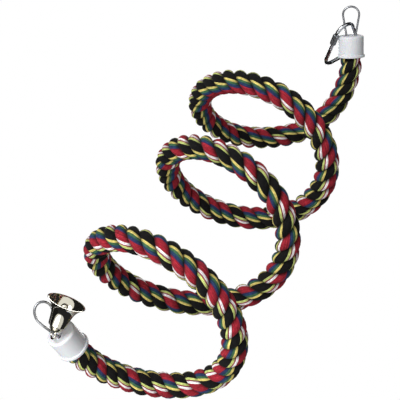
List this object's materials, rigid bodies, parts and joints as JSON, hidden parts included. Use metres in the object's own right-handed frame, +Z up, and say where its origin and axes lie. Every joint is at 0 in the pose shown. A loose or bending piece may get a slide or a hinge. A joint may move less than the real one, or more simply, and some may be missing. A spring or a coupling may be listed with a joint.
{
  "type": "bird perch",
  "caption": "Hanging spiral perch of thick multicoloured cotton rope with white end caps, wire eyes, a steel quick link and a small nickel bell.",
  "frame": {"origin": "inside of the top of the upper wire eye, where a hook carries the perch", "axes": "+Z up along the coil's upright axis; +X to the right and +Y to the back, seen by a viewer who looks at the open side of both caps"},
  "size_m": [0.1889, 0.1577, 0.4491],
  "materials": {
    "cotton_rope": "matt",
    "spring_steel": "satin",
    "white_plastic": "satin",
    "tape": "matt",
    "ferrule_metal": "satin",
    "eye_wire": "polished",
    "zinc_steel": "polished",
    "nickel": "polished"
  },
  "bodies": {
    "perch": {"rope": "cotton_rope", "core_wire": "spring_steel", "top_cap": "white_plastic", "top_tape": "tape", "top_ferrule": "ferrule_metal", "top_eye": "eye_wire"},
    "lower_end": {"bottom_cap": "white_plastic", "bottom_tape": "tape", "bottom_ferrule": "ferrule_metal", "bottom_eye": "eye_wire"},
    "link": {"link_body": "zinc_steel"},
    "nut": {"link_nut": "zinc_steel"},
    "bell": {"bell_shell": "nickel", "bell_crown": "nickel", "clapper_staple": "spring_steel"},
    "clapper": {"clapper": "nickel"}
  },
  "joints": [
    {"name": "coil_stretch", "type": "slide", "parent": "perch", "child": "lower_end", "axis": [0, 0, -1], "range_m": [-0.03, 0.06], "stiffness_N_per_m": 400, "deforming": ["rope", "core_wire"]},
    {"name": "link_swing", "type": "hinge", "parent": "perch", "child": "link", "pos_m": [0.00179, 0.01049, -0.01502], "axis": [0.5697, -0.2655, 0.7778], "range_deg": [0, 110]},
    {"name": "nut_travel", "type": "slide", "parent": "link", "child": "nut", "axis": [0.0478, 0.994, -0.0985], "range_m": [0, 0.01]},
    {"name": "bell_swing", "type": "hinge", "parent": "lower_end", "child": "bell", "pos_m": [-0.11986, 0.04674, -0.43395], "axis": [-0.8454, -0.5202, -0.1209], "range_deg": [-180, 0]},
    {"name": "clapper_swing", "type": "hinge", "parent": "bell", "child": "clapper", "pos_m": [-0.11952, 0.03607, -0.42648], "axis": [0.7841, 0.3968, 0.4772], "range_deg": [-32, 32]}
  ]
}
